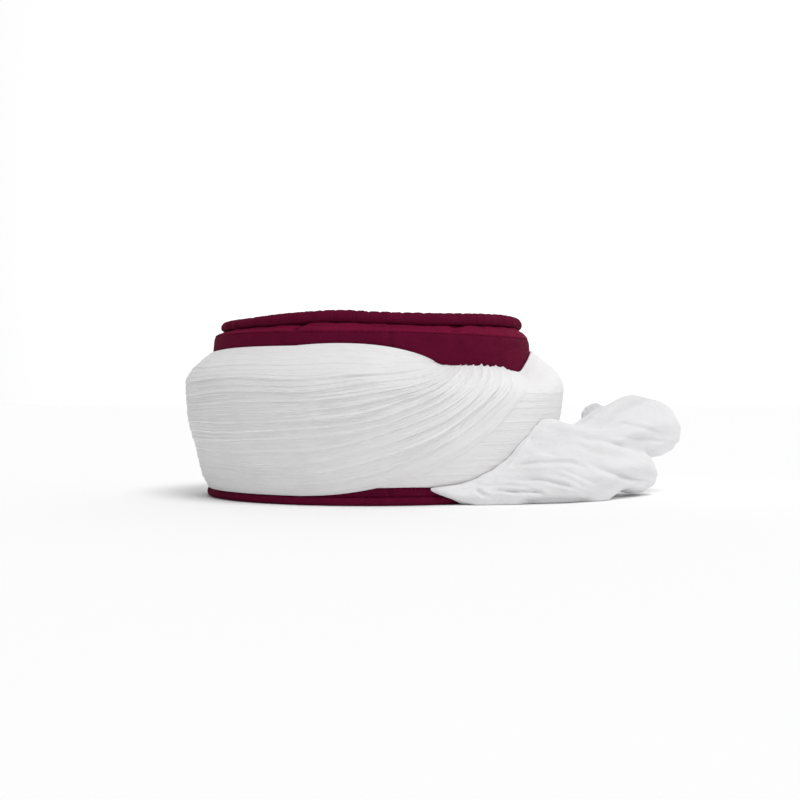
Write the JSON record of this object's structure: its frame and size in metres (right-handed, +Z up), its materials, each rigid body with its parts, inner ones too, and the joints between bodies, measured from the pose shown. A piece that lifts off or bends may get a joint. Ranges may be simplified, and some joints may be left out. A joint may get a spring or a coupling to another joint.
{
  "type": "turban with skullcap",
  "caption": "Ready-tied turban: a stiff flat-topped oval skullcap wound with white pleated cloth, its loose end bunched at one side.",
  "frame": {"origin": "middle of the whole part's footprint, on the surface it rests on", "axes": "+Z up; X along the cap's long axis with the loose end towards +X; the side with the outer turn's tuck faces -Y"},
  "size_m": [0.3042, 0.2089, 0.1044],
  "materials": {
    "maroon_cotton": "matt woven cotton over padding",
    "white_voile": "fine matt crinkled voile"
  },
  "bodies": {
    "root": {"cap_wall": "maroon_cotton", "cap_hem": "maroon_cotton", "cap_crown": "maroon_cotton", "crown_rim": "maroon_cotton", "wrap_under": "white_voile", "wrap_over": "white_voile", "tail": "white_voile"}
  },
  "joints": []
}
